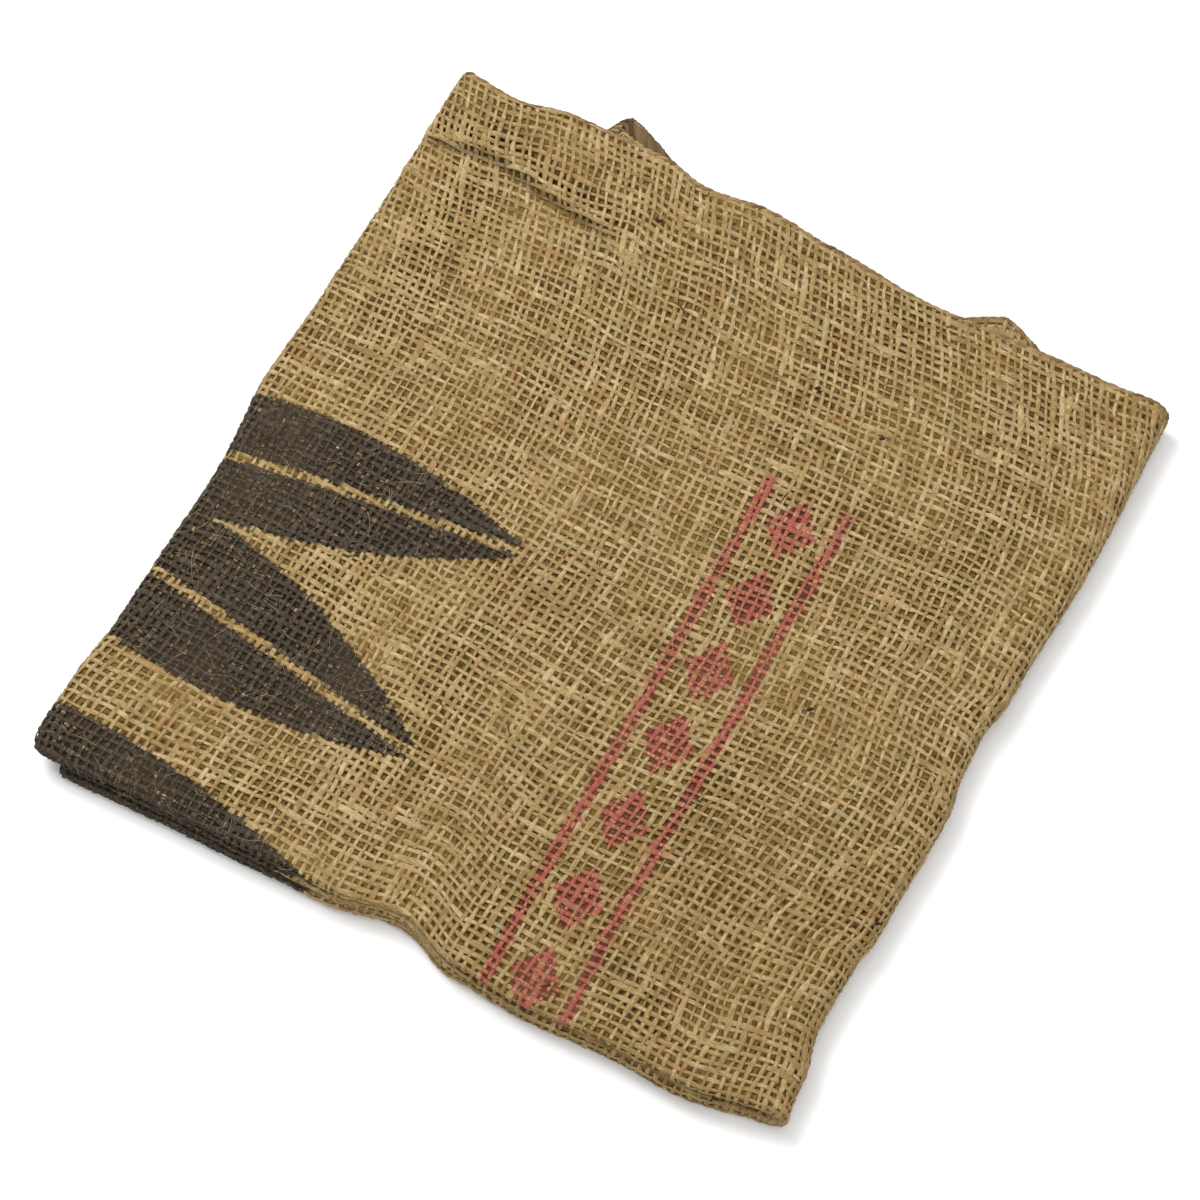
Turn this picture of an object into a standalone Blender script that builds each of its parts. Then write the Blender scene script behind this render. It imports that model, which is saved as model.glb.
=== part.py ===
"""A woven burlap sack, folded flat into a nearly square packet.

The sack is one tube of cloth, closed at its bottom end and open at its mouth. It is built
flat, as a thin-walled pouch, and then folded the way a person folds it:

1. in half along its length, with the front panel outside, so that it is four layers thick;
2. in thirds across its length, rolled, so that both ends lie hidden underneath;
3. shifted, pressed and creased a little, so that the outline and the top are as uneven as
   real cloth.

Each fold is a function that moves points and never lets two layers meet.
Metres, +Z up. The packet rests on z = 0. +X runs along the sack's length, +Y across it.
"""

import math

import bmesh
import bpy

# ---- Driving dimensions --------------------------------------------------------------------
CLOTH_THICKNESS = 0.0011
LAYER_GAP = 0.00035
SIDE_Y = 0.1515  # where the sack's two sides lie, at +Y
HALF_FOLD_Y = -0.1405  # centre of the lengthwise fold
LEFT_FOLD_X = -0.1352  # centre of the fold between the top and the middle third
RIGHT_FOLD_X = 0.1330  # centre of the fold between the bottom and the top third
MOUTH_X = -0.1310  # free end of the bottom third
SEAM_X = 0.1160  # sewn end of the middle third
COLUMNS = (-0.112, -0.087, -0.077, -0.051, -0.026, 0.002, 0.026, 0.050, 0.075, 0.101, SEAM_X)
ROWS = (0.133, 0.114, 0.084, 0.047, 0.006, -0.036, -0.078, -0.114)
FOLD_STEPS_Y = 5
FOLD_STEPS_X = {"right": 7, "left": 5}
EDGE_REACH = 0.100  # how far in from an edge its unevenness fades out

PITCH = CLOTH_THICKNESS + LAYER_GAP
LAYERS_A_THIRD = 4
THIRD_PITCH = LAYERS_A_THIRD * PITCH + LAYER_GAP
HALF_FOLD_RADIUS = PITCH + 0.5 * LAYER_GAP
THIRD_HALF_THICKNESS = HALF_FOLD_RADIUS + PITCH - 0.5 * LAYER_GAP
STACK_HEIGHT = 2 * THIRD_PITCH + 2 * THIRD_HALF_THICKNESS

# ---- The uneven edges: how far the cloth stands out past a straight edge --------------------
#        along,   out
LEFT_EDGE = (
    (-0.148, 0.0012),
    (-0.136, 0.0042),
    (-0.115, 0.0036),
    (-0.090, 0.0008),
    (-0.030, -0.0006),
    (0.012, 0.0026),
    (0.050, 0.0010),
    (0.100, 0.0002),
    (0.150, 0.0004),
)
RIGHT_EDGE = (
    (-0.148, 0.0040),
    (-0.130, 0.0018),
    (-0.106, -0.0022),
    (-0.082, -0.0015),
    (-0.070, 0.0006),
    (-0.020, 0.0020),
    (0.000, -0.0006),
    (0.012, -0.0010),
    (0.028, 0.0016),
    (0.090, 0.0044),
    (0.150, 0.0036),
)
SIDE_EDGE = (
    (-0.142, -0.0012),
    (-0.118, -0.0034),
    (-0.096, 0.0012),
    (-0.060, 0.0016),
    (-0.040, -0.0024),
    (-0.016, 0.0010),
    (0.010, -0.0014),
    (0.050, -0.0050),
    (0.080, -0.0034),
    (0.112, -0.0022),
    (0.140, -0.0004),
)
FOLD_EDGE = (
    (-0.140, 0.0044),
    (-0.075, 0.0022),
    (-0.030, 0.0012),
    (-0.002, -0.0036),
    (0.022, 0.0036),
    (0.048, 0.0050),
    (0.082, 0.0030),
    (0.102, 0.0036),
    (0.140, -0.0022),
)

# ---- Where a lower third's side peeks out past the top one ---------------------------------
#        third,   half,   start, peak, end, reach
PEEKS = (
    ("middle", "upper", -0.087, -0.077, -0.051, 0.0128),
    ("bottom", "upper", 0.050, 0.075, 0.103, 0.0148),
)
PEEK_REACH = 0.034

# ---- Sideways shift of the lower thirds, so that the three don't line up --------------------
BOTTOM_SHIFT_AT_MOUTH = -0.0022
BOTTOM_SHIFT_AT_ROLL = -0.0012
MIDDLE_SHIFT_AT_END = -0.0020

# ---- Soft creases and swellings: how far the top stands above a flat one -------------------
#        x,       y,       length, width,  turn,   height
CREASES = (
    (-0.102, 0.134, 0.040, 0.0130, -6.0, 0.0024),
    (-0.098, 0.116, 0.036, 0.0100, -9.0, -0.0010),
    (-0.042, 0.128, 0.016, 0.0400, 8.0, 0.0016),
    (-0.068, 0.098, 0.016, 0.0300, 10.0, -0.0008),
    (0.060, 0.120, 0.060, 0.0220, -4.0, 0.0012),
    (0.100, 0.045, 0.020, 0.0600, -6.0, 0.0010),
    (-0.004, -0.122, 0.016, 0.0200, 35.0, -0.0024),
    (0.036, -0.108, 0.040, 0.0200, -14.0, 0.0012),
    (-0.090, -0.060, 0.050, 0.0300, 20.0, 0.0008),
    (0.020, 0.010, 0.070, 0.0300, 60.0, -0.0008),
    (0.112, -0.085, 0.016, 0.0240, -20.0, -0.0014),
)
EDGE_DROOP = 0.0022  # how far the top sinks towards the fold edges
DROOP_REACH = 0.022

BURLAP_COLOUR = (0.42, 0.31, 0.16, 1.0)
BURLAP_ROUGHNESS = 0.95


def smooth_step(value):
    value = min(max(value, 0.0), 1.0)
    return value * value * (3.0 - 2.0 * value)


def along_table(rows, where):
    """The second column of a two-column table, read smoothly between its rows."""
    if where <= rows[0][0]:
        return rows[0][1]
    for (start, low), (end, high) in zip(rows, rows[1:]):
        if where <= end:
            return low + (high - low) * smooth_step((where - start) / (end - start))
    return rows[-1][1]


def spaced(start, end, steps):
    return [start + (end - start) * i / steps for i in range(steps + 1)]


# ---- Fold 1: in half along the length ------------------------------------------------------
def half_fold_stations():
    """(y, turn) along the sack's width: the upper half in, round the fold, the lower half out."""
    flat = [SIDE_Y, *ROWS, HALF_FOLD_Y]
    turns = spaced(0.0, math.pi, FOLD_STEPS_Y)[1:-1]
    upper = [(y, 0.0) for y in flat]
    lower = [(y, math.pi) for y in reversed(flat)]
    return upper + [(HALF_FOLD_Y, turn) for turn in turns] + lower


def fold_in_half(y, turn, out, side):
    """(y, h) of a point that lies `out` from the sack's middle surface, on its front side."""
    radius = HALF_FOLD_RADIUS + out
    return y + side - radius * math.sin(turn), radius * math.cos(turn)


# ---- Fold 2: in thirds across the length ---------------------------------------------------
def third_fold_stations():
    """(third, x, turn) along the sack's length, from its mouth to its sewn end."""
    columns = [LEFT_FOLD_X, *COLUMNS, RIGHT_FOLD_X]
    right_turns = spaced(0.0, math.pi, FOLD_STEPS_X["right"])[1:-1]
    left_turns = spaced(0.0, math.pi, FOLD_STEPS_X["left"])[1:-1]
    bottom = [MOUTH_X] + [x for x in columns if x > MOUTH_X]
    middle = [x for x in columns if x <= SEAM_X]
    return (
        [("bottom", x, 0.0) for x in bottom]
        + [("right", RIGHT_FOLD_X, turn) for turn in right_turns]
        + [("top", x, 0.0) for x in reversed(columns)]
        + [("left", LEFT_FOLD_X, turn) for turn in left_turns]
        + [("middle", x, 0.0) for x in middle]
    )


def fold_in_thirds(station, height, end):
    """(x, z) of a point at `height` above the third's own middle, its front side outwards."""
    third, x, turn = station
    floor = THIRD_HALF_THICKNESS
    if third == "bottom":
        return x - end, floor - height
    if third == "top":
        return x, floor + 2 * THIRD_PITCH + height
    if third == "middle":
        return x + end, floor + THIRD_PITCH - height
    if third == "right":
        radius = THIRD_PITCH + height
        return x + radius * math.sin(turn), floor + THIRD_PITCH - radius * math.cos(turn)
    radius = 0.5 * THIRD_PITCH + height
    return x - radius * math.sin(turn), floor + 1.5 * THIRD_PITCH + radius * math.cos(turn)


# ---- The unevenness of real cloth ----------------------------------------------------------
def sideways_shift(station):
    third, x, turn = station
    share = (x - LEFT_FOLD_X) / (RIGHT_FOLD_X - LEFT_FOLD_X)
    if third == "bottom":
        return BOTTOM_SHIFT_AT_MOUTH + (BOTTOM_SHIFT_AT_ROLL - BOTTOM_SHIFT_AT_MOUTH) * share
    if third == "right":
        return BOTTOM_SHIFT_AT_ROLL * (1.0 - smooth_step(turn / math.pi))
    if third == "middle":
        return MIDDLE_SHIFT_AT_END * share
    return 0.0


def peek(station, half, x, y):
    """How far a lower third's side is pushed out past the top one's."""
    out = 0.0
    for third, its_half, start, peak_x, finish, reach in PEEKS:
        if (third, its_half) == (station[0], half):
            across = min((x - start) / (peak_x - start), (finish - x) / (finish - peak_x))
            inwards = smooth_step((y - SIDE_Y + PEEK_REACH) / PEEK_REACH)
            out += reach * max(across, 0.0) * inwards
    return out


def outline_shift(x, y):
    """How far the uneven edges carry a point, fading out towards the middle."""
    left = smooth_step((LEFT_FOLD_X + EDGE_REACH - x) / EDGE_REACH)
    right = smooth_step((x - RIGHT_FOLD_X + EDGE_REACH) / EDGE_REACH)
    near = smooth_step((HALF_FOLD_Y + EDGE_REACH - y) / EDGE_REACH)
    far = smooth_step((y - SIDE_Y + EDGE_REACH) / EDGE_REACH)
    out_x = along_table(RIGHT_EDGE, y) * right - along_table(LEFT_EDGE, y) * left
    out_y = along_table(SIDE_EDGE, x) * far - along_table(FOLD_EDGE, x) * near
    return out_x, out_y


def crease_rise(x, y):
    """How far the creases lift or sink the top of the packet."""
    rise = 0.0
    for cx, cy, length, width, turn, height in CREASES:
        angle = math.radians(turn)
        along = (x - cx) * math.cos(angle) + (y - cy) * math.sin(angle)
        across = (y - cy) * math.cos(angle) - (x - cx) * math.sin(angle)
        rise += height * math.exp(-((along / length) ** 2) - (across / width) ** 2)
    return rise


def pressed_height(x, y, z):
    """The height of a point once the top is creased and its edges droop; the underside stays flat."""
    inside = min(x - LEFT_FOLD_X, RIGHT_FOLD_X - x, y - HALF_FOLD_Y, SIDE_Y - y)
    droop = EDGE_DROOP * (1.0 - smooth_step(inside / DROOP_REACH))
    share = z / STACK_HEIGHT
    return z + crease_rise(x, y) * share * share - droop * share


def folded_place(column, station, out, side, end, half):
    """The place in the packet of one point of the flat sack.

    out is its distance from the sack's middle surface, towards the front panel; side and end
    are how far it stands past the last station of its panel, across and along the sack.
    """
    y, turn = column
    y, height = fold_in_half(y, turn, out, side)
    x, z = fold_in_thirds(station, height, end)
    y += sideways_shift(station)
    y += peek(station, half, x, y)
    out_x, out_y = outline_shift(x, y)
    return x + out_x, y + out_y, pressed_height(x, y, z)


# ---- The sack as one closed skin -----------------------------------------------------------
def ring_points(wall):
    """(column, out, side, half) round the flat sack, for a skin `wall` outside the cloth's middle."""
    columns = half_fold_stations()
    out = 0.5 * PITCH + wall
    halves = ["upper" if i < len(columns) // 2 else "lower" for i in range(len(columns))]
    front = [(c, out, 0.0, half) for c, half in zip(columns, halves)]
    back = [(c, -out, 0.0, half) for c, half in zip(columns, halves)]
    lower_side = (columns[-1], 0.0, out, "lower")
    upper_side = (columns[0], 0.0, out, "upper")
    return front + [lower_side] + back[::-1] + [upper_side]


def add_skin(bm, wall, stations):
    """One row of vertices round the sack at each station along it."""
    rows = []
    last = len(stations) - 1
    for i, station in enumerate(stations):
        end = wall if i == last else 0.0
        rows.append(
            [
                bm.verts.new(folded_place(column, station, out, side, end, half))
                for column, out, side, half in ring_points(wall)
            ]
        )
    return rows


def add_wall_faces(bm, rows, stations, outward):
    """The skin's faces, as triangles cut the same way in every layer, so that none meet."""
    count = len(rows[0])
    panel = (count - 2) // 2
    for i in range(len(rows) - 1):
        reverses_x = stations[i + 1][0] in ("top", "left")
        for j in range(count):
            k = (j + 1) % count
            a, b = rows[i][j], rows[i][k]
            c, d = rows[i + 1][k], rows[i + 1][j]
            on_front = j < panel
            column = j if on_front else 2 * panel - j
            reverses_y = column < panel // 2
            if reverses_x == (reverses_y == on_front):
                corners = ((a, b, c), (a, c, d))
            else:
                corners = ((a, b, d), (b, c, d))
            for corner in corners:
                bm.faces.new(corner if outward else corner[::-1])


def add_sewn_end(bm, row, outward):
    """Closes a skin at the sack's sewn end, rung by rung between front and back panels."""
    count = len(row)
    panel = (count - 2) // 2
    front = row[:panel]
    back = row[panel + 1 : -1][::-1]
    lower_side, upper_side = row[panel], row[-1]
    rungs = [(front[0], back[0], upper_side), (front[-1], lower_side, back[-1])]
    for i in range(panel - 1):
        rungs.append((front[i], front[i + 1], back[i]))
        rungs.append((back[i], front[i + 1], back[i + 1]))
    for corner in rungs:
        bm.faces.new(corner if outward else corner[::-1])


def add_mouth(bm, outer, inner):
    """The cloth's cut edge round the open mouth."""
    count = len(outer)
    for j in range(count):
        k = (j + 1) % count
        bm.faces.new((outer[k], outer[j], inner[j]))
        bm.faces.new((outer[k], inner[j], inner[k]))


def centre_on_origin(bm):
    """The middle of the packet's outline comes to x = y = 0 and its underside to z = 0."""
    xs = [v.co.x for v in bm.verts]
    ys = [v.co.y for v in bm.verts]
    zs = [v.co.z for v in bm.verts]
    middle = (0.5 * (min(xs) + max(xs)), 0.5 * (min(ys) + max(ys)), min(zs))
    print("centred by", [round(1000.0 * c, 2) for c in middle], "mm")
    bmesh.ops.translate(bm, verts=bm.verts, vec=[-c for c in middle])


def make_bag():
    bm = bmesh.new()
    stations = third_fold_stations()
    outer = add_skin(bm, 0.5 * CLOTH_THICKNESS, stations)
    inner = add_skin(bm, -0.5 * CLOTH_THICKNESS, stations)
    add_wall_faces(bm, outer, stations, True)
    add_wall_faces(bm, inner, stations, False)
    add_sewn_end(bm, outer[-1], True)
    add_sewn_end(bm, inner[-1], False)
    add_mouth(bm, outer[0], inner[0])
    bmesh.ops.recalc_face_normals(bm, faces=bm.faces)
    centre_on_origin(bm)
    mesh = bpy.data.meshes.new("bag")
    bm.to_mesh(mesh)
    bm.free()
    mesh.shade_smooth()
    mesh.set_sharp_from_angle(angle=math.radians(50.0))
    return bpy.data.objects.new("bag", mesh)


def burlap_material():
    material = bpy.data.materials.new("burlap")
    material.use_nodes = True
    shader = material.node_tree.nodes["Principled BSDF"]
    shader.inputs["Base Color"].default_value = BURLAP_COLOUR
    shader.inputs["Roughness"].default_value = BURLAP_ROUGHNESS
    shader.inputs["Metallic"].default_value = 0.0
    return material


def main():
    for item in list(bpy.data.objects):
        bpy.data.objects.remove(item)
    collection = bpy.data.collections.new("folded burlap sack")
    bpy.context.scene.collection.children.link(collection)
    bag = make_bag()
    bag.data.materials.append(burlap_material())
    collection.objects.link(bag)
    flats = (RIGHT_FOLD_X - MOUTH_X) + (RIGHT_FOLD_X - LEFT_FOLD_X) + (SEAM_X - LEFT_FOLD_X)
    bends = math.pi * (THIRD_PITCH + 0.5 * THIRD_PITCH)
    width = SIDE_Y - HALF_FOLD_Y + 0.5 * math.pi * HALF_FOLD_RADIUS
    print("bag:", len(bag.data.polygons), "faces")
    print("flat sack:", round(2 * width, 3), "m wide,", round(flats + bends, 3), "m long")


main()
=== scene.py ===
# %% [markdown]
# # A folded burlap sack
# The object is one tube of coarse jute cloth, folded in half along its length and rolled in
# thirds into a flat packet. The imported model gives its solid. This script gives its looks: the
# cloth as thin layers, every yarn of the layer that shows, the printed marks, and loose fibres.

# %% The frame
import math

import bpy
import mathutils
import numpy as np
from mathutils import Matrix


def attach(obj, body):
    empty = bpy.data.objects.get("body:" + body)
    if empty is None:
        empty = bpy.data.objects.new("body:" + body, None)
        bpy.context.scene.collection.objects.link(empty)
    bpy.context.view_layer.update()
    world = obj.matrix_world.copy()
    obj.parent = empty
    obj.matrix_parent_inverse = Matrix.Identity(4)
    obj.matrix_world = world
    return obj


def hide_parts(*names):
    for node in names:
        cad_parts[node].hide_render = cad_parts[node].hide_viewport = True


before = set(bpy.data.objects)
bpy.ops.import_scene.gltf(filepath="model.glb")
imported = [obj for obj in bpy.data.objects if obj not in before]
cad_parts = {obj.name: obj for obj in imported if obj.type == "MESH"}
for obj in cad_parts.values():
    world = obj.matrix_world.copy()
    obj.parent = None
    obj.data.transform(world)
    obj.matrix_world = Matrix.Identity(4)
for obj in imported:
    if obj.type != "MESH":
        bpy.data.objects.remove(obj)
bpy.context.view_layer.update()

# %% [markdown]
# ## Sizes
# The folds below are those of the solid, so the looks lie where the solid lies. All lengths are
# in metres. The fold positions are measured before the packet is centred on the origin.

# %% Fold sizes
CLOTH_THICKNESS = 0.0011
LAYER_GAP = 0.00035
PITCH = CLOTH_THICKNESS + LAYER_GAP
SIDE_Y = 0.1515
HALF_FOLD_Y = -0.1405
LEFT_FOLD_X = -0.1352
RIGHT_FOLD_X = 0.1330
MOUTH_X = -0.1310
SEAM_X = 0.1160
EDGE_REACH = 0.100
CENTRE = (0.00083, 0.00841)

THIRD_PITCH = 4 * PITCH + LAYER_GAP
HALF_FOLD_RADIUS = PITCH + 0.5 * LAYER_GAP
PANEL_RADIUS = 0.5 * PITCH
FLOOR = HALF_FOLD_RADIUS + PITCH - 0.5 * LAYER_GAP
STACK_HEIGHT = 2 * THIRD_PITCH + 2 * FLOOR

# %% [markdown]
# Two lengths say where a point is on the cloth. `s` runs across the sack: 0 at its upper side,
# in over the front panel, round the lengthwise fold and out again to the lower side. Below 0
# and past `ROUND` it turns over the side on to the back panel. `u` runs along the sack from its
# mouth, over the three thirds and the two rolled folds between them.

# %% Lengths along the cloth
FLAT = SIDE_Y - HALF_FOLD_Y
HALF_ARC = math.pi * (HALF_FOLD_RADIUS + PANEL_RADIUS)
SIDE_ARC = math.pi * PANEL_RADIUS
ROUND = 2 * FLAT + HALF_ARC

RIGHT_ARC = math.pi * (THIRD_PITCH + HALF_FOLD_RADIUS + PANEL_RADIUS)
LEFT_ARC = math.pi * (0.5 * THIRD_PITCH + HALF_FOLD_RADIUS + PANEL_RADIUS)
U_RIGHT = RIGHT_FOLD_X - MOUTH_X
U_TOP = U_RIGHT + RIGHT_ARC
U_LEFT = U_TOP + RIGHT_FOLD_X - LEFT_FOLD_X
U_MIDDLE = U_LEFT + LEFT_ARC
U_END = U_MIDDLE + SEAM_X - LEFT_FOLD_X
PRINT_X = RIGHT_FOLD_X + U_TOP
print("cloth, m:", round(2 * ROUND, 3), "round by", round(U_END, 3), "long")

# %% [markdown]
# ## Uneven edges and creases
# Hand-folded cloth never lines up. These short tables say how far each edge stands out past a
# straight one, and where the top swells or sinks. The first group is the solid's own.

# %% Edge and crease tables
#    along,   out
LEFT_EDGE = (
    (-0.148, 0.0012),
    (-0.136, 0.0042),
    (-0.115, 0.0036),
    (-0.090, 0.0008),
    (-0.030, -0.0006),
    (0.012, 0.0026),
    (0.050, 0.0010),
    (0.100, 0.0002),
    (0.150, 0.0004),
)
RIGHT_EDGE = (
    (-0.148, 0.0040),
    (-0.130, 0.0018),
    (-0.106, -0.0022),
    (-0.082, -0.0015),
    (-0.070, 0.0006),
    (-0.020, 0.0020),
    (0.000, -0.0006),
    (0.012, -0.0010),
    (0.028, 0.0016),
    (0.090, 0.0044),
    (0.150, 0.0036),
)
SIDE_EDGE = (
    (-0.142, -0.0012),
    (-0.118, -0.0034),
    (-0.096, 0.0012),
    (-0.060, 0.0016),
    (-0.040, -0.0024),
    (-0.016, 0.0010),
    (0.010, -0.0014),
    (0.050, -0.0050),
    (0.080, -0.0034),
    (0.112, -0.0022),
    (0.140, -0.0004),
)
FOLD_EDGE = (
    (-0.140, 0.0044),
    (-0.075, 0.0022),
    (-0.030, 0.0012),
    (-0.002, -0.0036),
    (0.022, 0.0036),
    (0.048, 0.0050),
    (0.082, 0.0030),
    (0.102, 0.0036),
    (0.140, -0.0022),
)
#    start,  peak,   end,    reach of the middle third's side, then of the bottom third's
MIDDLE_PEEK = (-0.087, -0.079, -0.051, 0.0128)
BOTTOM_PEEK = (0.050, 0.075, 0.103, 0.0148)
PEEK_REACH = 0.034
#    x,      y,      length, width,  turn,  height
CREASES = (
    (-0.102, 0.134, 0.040, 0.0130, -6.0, 0.0024),
    (-0.098, 0.116, 0.036, 0.0100, -9.0, -0.0010),
    (-0.042, 0.128, 0.016, 0.0400, 8.0, 0.0016),
    (-0.068, 0.098, 0.016, 0.0300, 10.0, -0.0008),
    (0.060, 0.120, 0.060, 0.0220, -4.0, 0.0012),
    (0.100, 0.045, 0.020, 0.0600, -6.0, 0.0010),
    (-0.004, -0.122, 0.016, 0.0200, 35.0, -0.0024),
    (0.036, -0.108, 0.040, 0.0200, -14.0, 0.0012),
    (-0.090, -0.060, 0.050, 0.0300, 20.0, 0.0008),
    (0.020, 0.010, 0.070, 0.0300, 60.0, -0.0008),
    (0.112, -0.085, 0.016, 0.0240, -20.0, -0.0014),
)
EDGE_DROOP = 0.0022
DROOP_REACH = 0.022

# %% [markdown]
# ## The folds as functions
# The solid was folded by functions that move points, and so are the looks. Each function takes
# whole arrays of points, so that numpy folds a hundred thousand of them at once.

# %% Helpers
def smooth(value):
    value = np.clip(value, 0.0, 1.0)
    return value * value * (3.0 - 2.0 * value)


def along_table(rows, where):
    """The second column of a two-column table, read smoothly between its rows."""
    starts, values = np.array(rows).T
    i = np.clip(np.searchsorted(starts, where) - 1, 0, len(rows) - 2)
    share = smooth((where - starts[i]) / (starts[i + 1] - starts[i]))
    return values[i] + (values[i + 1] - values[i]) * share


# %% Across the sack
def across(s, out):
    """(y, turn, offset) of a point `out` from the cloth's middle, away from the sack's inside."""
    inside = np.clip(s, 0.0, ROUND)
    turn = math.pi * np.clip((inside - FLAT) / HALF_ARC, 0.0, 1.0)
    y = np.maximum(SIDE_Y - np.minimum(inside, ROUND - inside), HALF_FOLD_Y)
    past = np.maximum(-s, 0.0) + np.maximum(s - ROUND, 0.0)
    bend = math.pi * np.clip(past / SIDE_ARC, 0.0, 1.0)
    y = y - np.maximum(past - SIDE_ARC, 0.0)
    reach = PANEL_RADIUS + out
    return y + reach * np.sin(bend), turn, reach * np.cos(bend)


# %% Along the sack
def along(u, height):
    """(x, z, share of the way from left to right, turn of the right fold) of a point."""
    right = math.pi * np.clip((u - U_RIGHT) / RIGHT_ARC, 0.0, 1.0)
    left = math.pi * np.clip((u - U_LEFT) / LEFT_ARC, 0.0, 1.0)
    low_x = np.minimum(MOUTH_X + u, RIGHT_FOLD_X)
    high_x = RIGHT_FOLD_X - np.clip(u - U_TOP, 0.0, U_LEFT - U_TOP) + np.maximum(u - U_MIDDLE, 0.0)
    big = THIRD_PITCH + height
    small = 0.5 * THIRD_PITCH + height
    is_low = u < U_TOP
    flat_x = np.where(is_low, low_x, high_x)
    x = flat_x + np.where(is_low, big * np.sin(right), -small * np.sin(left))
    low_z = FLOOR + THIRD_PITCH - big * np.cos(right)
    high_z = FLOOR + 1.5 * THIRD_PITCH + small * np.cos(left)
    share = (flat_x - LEFT_FOLD_X) / (RIGHT_FOLD_X - LEFT_FOLD_X)
    return x, np.where(is_low, low_z, high_z), share, right


# %% Shifts in the plane
def peek(row, x, y):
    """How far a lower third's side stands out past the top one's."""
    start, peak, end, reach = row
    share = np.clip(np.minimum((x - start) / (peak - start), (end - x) / (end - peak)), 0.0, 1.0)
    rounded = 1.0 - (1.0 - share) ** 1.3
    return reach * rounded * smooth((y - SIDE_Y + PEEK_REACH) / PEEK_REACH)


def outline_shift(x, y):
    """How far the uneven edges carry a point, fading out towards the middle."""
    left = smooth((LEFT_FOLD_X + EDGE_REACH - x) / EDGE_REACH)
    right = smooth((x - RIGHT_FOLD_X + EDGE_REACH) / EDGE_REACH)
    near = smooth((HALF_FOLD_Y + EDGE_REACH - y) / EDGE_REACH)
    far = smooth((y - SIDE_Y + EDGE_REACH) / EDGE_REACH)
    out_x = along_table(RIGHT_EDGE, y) * right - along_table(LEFT_EDGE, y) * left
    out_y = along_table(SIDE_EDGE, x) * far - along_table(FOLD_EDGE, x) * near
    return out_x, out_y


# %% [markdown]
# The top has its main creases as soft ridges and troughs. The one by the upper left corner is a
# pressed tuck: the cloth above it bulges and drops steeply to a narrow groove. It is a step along
# a path, so it gets a function of its own. Only the yarns follow it, not the sheet under them.

# %% Relief of the top
#    x,       y of the tuck's groove
TUCK_PATH = (
    (-0.150, 0.1170),
    (-0.132, 0.1203),
    (-0.115, 0.1225),
    (-0.101, 0.1205),
    (-0.088, 0.1178),
    (-0.070, 0.1160),
    (-0.040, 0.1130),
)
TUCK_GROOVE = 0.0003
TUCK_BULGE = 0.0026
TUCK_PULL = 0.0026  # how far the cloth above it is drawn towards the groove
TUCK_SHADE_MIDDLE = 0.0003
TUCK_SHADE_HALF = 0.0015


def tuck_distance(x, y):
    """How far a point lies above the tuck's groove, and how strong the tuck is there."""
    strength = smooth((-0.052 - x) / 0.022)
    return y - along_table(TUCK_PATH, x), strength


def crease_rise(x, y):
    """How far the solid's own creases lift or sink the top."""
    rise = 0.0
    for cx, cy, length, width, turn, height in CREASES:
        angle = math.radians(turn)
        by_length = (x - cx) * math.cos(angle) + (y - cy) * math.sin(angle)
        by_width = (y - cy) * math.cos(angle) - (x - cx) * math.sin(angle)
        rise = rise + height * np.exp(-((by_length / length) ** 2) - (by_width / width) ** 2)
    return rise


def fine_rise(x, y):
    """The tuck and the small waves that the solid leaves out."""
    above, strength = tuck_distance(x, y)
    groove = -TUCK_GROOVE * np.exp(-((above / 0.0022) ** 2))
    bulge = TUCK_BULGE * smooth(above / 0.0032) * (1.0 - smooth((above - 0.0040) / 0.0130))
    waves = slow_waves(x, y, 5, 0.028, 0.090)
    return strength * (groove + bulge) + 0.00025 * waves


def tuck_shade(place):
    """1 along the foot of the tuck, where hardly any light falls, and 0 away from it."""
    x, y = place[..., 0] + CENTRE[0], place[..., 1] + CENTRE[1]
    above, strength = tuck_distance(x, y)
    on_top = smooth((place[..., 2] / STACK_HEIGHT - 0.75) / 0.10)
    return on_top * strength * np.exp(-(((above - TUCK_SHADE_MIDDLE) / TUCK_SHADE_HALF) ** 2))


def tuck_pull(x, y):
    """How far the tuck draws the cloth above its groove down towards it, along y."""
    above, strength = tuck_distance(x, y)
    return -TUCK_PULL * strength * smooth(above / 0.0080) * (1.0 - smooth((above - 0.008) / 0.016))


# %% Slow random waves
def slow_waves(x, y, seed, shortest, longest, count=9):
    """A smooth uneven field, about 1 high, made of a few straight waves in random directions."""
    draw = np.random.default_rng(seed)
    field = 0.0
    for _ in range(count):
        length = draw.uniform(shortest, longest)
        angle = draw.uniform(0.0, math.pi)
        start = draw.uniform(0.0, 2.0 * math.pi)
        field = field + np.sin(
            2.0 * math.pi * (x * math.cos(angle) + y * math.sin(angle)) / length + start
        )
    return field / math.sqrt(0.5 * count)


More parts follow.
